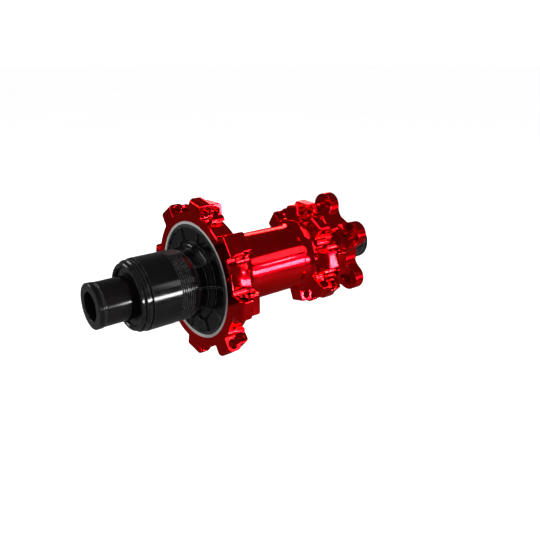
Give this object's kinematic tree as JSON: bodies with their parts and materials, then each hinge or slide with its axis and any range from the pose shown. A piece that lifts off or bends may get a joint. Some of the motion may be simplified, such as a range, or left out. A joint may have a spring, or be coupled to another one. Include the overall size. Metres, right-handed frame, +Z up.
{
  "type": "hub assembly",
  "caption": "Rear bicycle hub with a red one-piece shell whose flanges take screwed-in straight spokes, a black threaded freewheel driver and a six-bolt rotor mount.",
  "frame": {"origin": "on the axle centre line, midway between the two dropout faces", "axes": "+Y along the axle from the sprocket side to the rotor side, +Z up, +X forward on the bicycle"},
  "size_m": [0.0722, 0.148, 0.0722],
  "materials": {
    "shell_anodised_red": "gloss",
    "driver_anodised_black": "satin",
    "cap_anodised_black": "satin",
    "bare_aluminium": "machined",
    "ring_steel": "machined",
    "spring_steel": "polished",
    "pawl_steel": "ground",
    "bearing_steel": "ground",
    "cage_nylon": "matte",
    "shield_rubber": "matte",
    "seal_rubber": "matte"
  },
  "bodies": {
    "axle_assembly": {"axle": "bare_aluminium", "driver_bearing_spacer": "bare_aluminium", "nose_bearing_inner_ring": "bearing_steel", "driver_bearing_inner_ring": "bearing_steel", "shell_bearing_inner_ring": "bearing_steel", "brake_bearing_inner_ring": "bearing_steel"},
    "drive_cap": {"drive_end_cap": "cap_anodised_black", "drive_cap_o_ring": "seal_rubber"},
    "brake_cap": {"brake_end_cap": "cap_anodised_black", "brake_cap_o_ring": "seal_rubber"},
    "shell": {"hub_shell": "shell_anodised_red", "drive_ring": "ring_steel", "brake_seal": "seal_rubber", "shell_bearing_outer_ring": "bearing_steel", "shell_bearing_outboard_shield": "shield_rubber", "shell_bearing_inboard_shield": "shield_rubber", "brake_bearing_outer_ring": "bearing_steel", "brake_bearing_outboard_shield": "shield_rubber", "brake_bearing_inboard_shield": "shield_rubber"},
    "driver": {"driver_body": "driver_anodised_black", "dish_seal": "seal_rubber", "nose_seal": "seal_rubber", "nose_retaining_ring": "spring_steel", "nose_bearing_outer_ring": "bearing_steel", "nose_bearing_outboard_shield": "shield_rubber", "nose_bearing_inboard_shield": "shield_rubber", "driver_bearing_outer_ring": "bearing_steel", "driver_bearing_outboard_shield": "shield_rubber", "driver_bearing_inboard_shield": "shield_rubber", "pawl_spring_1": "spring_steel", "pawl_spring_2": "spring_steel", "pawl_spring_3": "spring_steel", "pawl_spring_4": "spring_steel", "pawl_spring_5": "spring_steel", "pawl_spring_6": "spring_steel"},
    "nose_bearing_ball_set": {"nose_bearing_balls": "bearing_steel", "nose_bearing_cage": "cage_nylon"},
    "driver_bearing_ball_set": {"driver_bearing_balls": "bearing_steel", "driver_bearing_cage": "cage_nylon"},
    "shell_bearing_ball_set": {"shell_bearing_balls": "bearing_steel", "shell_bearing_cage": "cage_nylon"},
    "brake_bearing_ball_set": {"brake_bearing_balls": "bearing_steel", "brake_bearing_cage": "cage_nylon"},
    "ratchet_pawl_1": {"pawl_1": "pawl_steel"},
    "ratchet_pawl_2": {"pawl_2": "pawl_steel"},
    "ratchet_pawl_3": {"pawl_3": "pawl_steel"},
    "ratchet_pawl_4": {"pawl_4": "pawl_steel"},
    "ratchet_pawl_5": {"pawl_5": "pawl_steel"},
    "ratchet_pawl_6": {"pawl_6": "pawl_steel"}
  },
  "joints": [
    {"name": "shell_spin", "type": "hinge", "parent": "axle_assembly", "child": "shell", "pos_m": [0, 0, 0], "axis": [0, 1, 0], "continuous": true},
    {"name": "driver_spin", "type": "hinge", "parent": "axle_assembly", "child": "driver", "pos_m": [0, 0, 0], "axis": [0, 1, 0], "continuous": true},
    {"name": "nose_bearing_cage_spin", "type": "hinge", "parent": "axle_assembly", "child": "nose_bearing_ball_set", "pos_m": [0, 0, 0], "axis": [0, 1, 0], "continuous": true},
    {"name": "driver_bearing_cage_spin", "type": "hinge", "parent": "axle_assembly", "child": "driver_bearing_ball_set", "pos_m": [0, 0, 0], "axis": [0, 1, 0], "continuous": true},
    {"name": "shell_bearing_cage_spin", "type": "hinge", "parent": "axle_assembly", "child": "shell_bearing_ball_set", "pos_m": [0, 0, 0], "axis": [0, 1, 0], "continuous": true},
    {"name": "brake_bearing_cage_spin", "type": "hinge", "parent": "axle_assembly", "child": "brake_bearing_ball_set", "pos_m": [0, 0, 0], "axis": [0, 1, 0], "continuous": true},
    {"name": "pawl_1_pivot", "type": "hinge", "parent": "driver", "child": "ratchet_pawl_1", "pos_m": [-0.0083, -0.0215, 0.0189], "axis": [0, -1, 0], "range_deg": [0, 8], "stiffness_Nm_per_rad": 0.02, "springref_deg": 16.62},
    {"name": "pawl_2_pivot", "type": "hinge", "parent": "driver", "child": "ratchet_pawl_2", "pos_m": [0.01222, -0.0215, 0.01664], "axis": [0, -1, 0], "range_deg": [0, 8], "stiffness_Nm_per_rad": 0.02, "springref_deg": 16.62},
    {"name": "pawl_3_pivot", "type": "hinge", "parent": "driver", "child": "ratchet_pawl_3", "pos_m": [0.02052, -0.0215, -0.00226], "axis": [0, -1, 0], "range_deg": [0, 8], "stiffness_Nm_per_rad": 0.02, "springref_deg": 16.62},
    {"name": "pawl_4_pivot", "type": "hinge", "parent": "driver", "child": "ratchet_pawl_4", "pos_m": [0.0083, -0.0215, -0.0189], "axis": [0, -1, 0], "range_deg": [0, 8], "stiffness_Nm_per_rad": 0.02, "springref_deg": 16.62},
    {"name": "pawl_5_pivot", "type": "hinge", "parent": "driver", "child": "ratchet_pawl_5", "pos_m": [-0.01222, -0.0215, -0.01664], "axis": [0, -1, 0], "range_deg": [0, 8], "stiffness_Nm_per_rad": 0.02, "springref_deg": 16.62},
    {"name": "pawl_6_pivot", "type": "hinge", "parent": "driver", "child": "ratchet_pawl_6", "pos_m": [-0.02052, -0.0215, 0.00226], "axis": [0, -1, 0], "range_deg": [0, 8], "stiffness_Nm_per_rad": 0.02, "springref_deg": 16.62},
    {"name": "drive_cap_pull", "type": "slide", "parent": "axle_assembly", "child": "drive_cap", "axis": [0, -1, 0], "range_m": [0, 0.022]},
    {"name": "brake_cap_pull", "type": "slide", "parent": "axle_assembly", "child": "brake_cap", "axis": [0, 1, 0], "range_m": [0, 0.022]}
  ],
  "couplings": [
    {"joint": "nose_bearing_cage_spin", "follows": "driver_spin", "ratio": 0.56231},
    {"joint": "driver_bearing_cage_spin", "follows": "driver_spin", "ratio": 0.55651},
    {"joint": "shell_bearing_cage_spin", "follows": "shell_spin", "ratio": 0.55651},
    {"joint": "brake_bearing_cage_spin", "follows": "shell_spin", "ratio": 0.57468}
  ]
}
